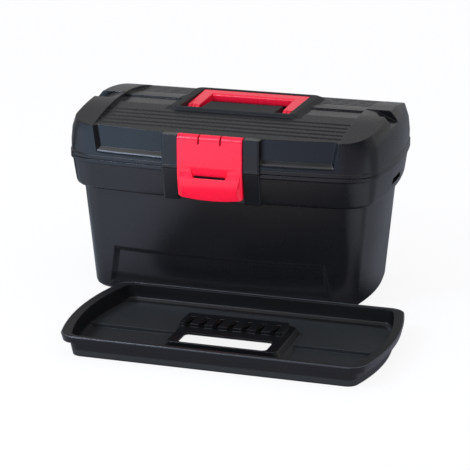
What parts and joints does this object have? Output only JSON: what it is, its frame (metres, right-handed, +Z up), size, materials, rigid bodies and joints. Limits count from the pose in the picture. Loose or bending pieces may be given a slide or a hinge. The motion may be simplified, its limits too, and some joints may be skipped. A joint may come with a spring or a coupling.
{
  "type": "toolbox with tray",
  "caption": "Moulded plastic toolbox with a hinged lid, front drop latch, fold-down carry handle and a loose tool tray standing in front.",
  "frame": {"origin": "middle of the flat underside of the box, on the ground", "axes": "+X along the length of the box to the right, +Y to the rear where the lid hinges, +Z up; the latch and the tray are on the -Y side"},
  "size_m": [0.4028, 0.4182, 0.203],
  "materials": {
    "black_polypropylene": "satin injection moulding",
    "red_polypropylene": "semi-gloss injection moulding",
    "steel": "drawn wire"
  },
  "bodies": {
    "box": {"body": "black_polypropylene", "left_hinge_pin": "black_polypropylene", "right_hinge_pin": "black_polypropylene"},
    "lid": {"lid": "black_polypropylene", "latch_pin": "steel", "left_handle_pin": "black_polypropylene", "right_handle_pin": "black_polypropylene"},
    "latch": {"latch": "red_polypropylene"},
    "handle": {"carry_handle": "red_polypropylene"},
    "tray": {"tray": "black_polypropylene"}
  },
  "joints": [
    {"name": "lid_hinge", "type": "hinge", "parent": "box", "child": "lid", "pos_m": [0, 0.1168, 0.1536], "axis": [-1, 0, 0], "range_deg": [0, 105]},
    {"name": "latch_pivot", "type": "hinge", "parent": "lid", "child": "latch", "pos_m": [0, -0.1103, 0.185], "axis": [-1, 0, 0], "range_deg": [0, 110]},
    {"name": "handle_pivot", "type": "hinge", "parent": "lid", "child": "handle", "pos_m": [0, -0.0018, 0.191], "axis": [1, 0, 0], "range_deg": [0, 90]},
    {"name": "tray_slide", "type": "slide", "parent": "box", "child": "tray", "axis": [0, -1, 0], "range_m": [0, 0.3]}
  ]
}
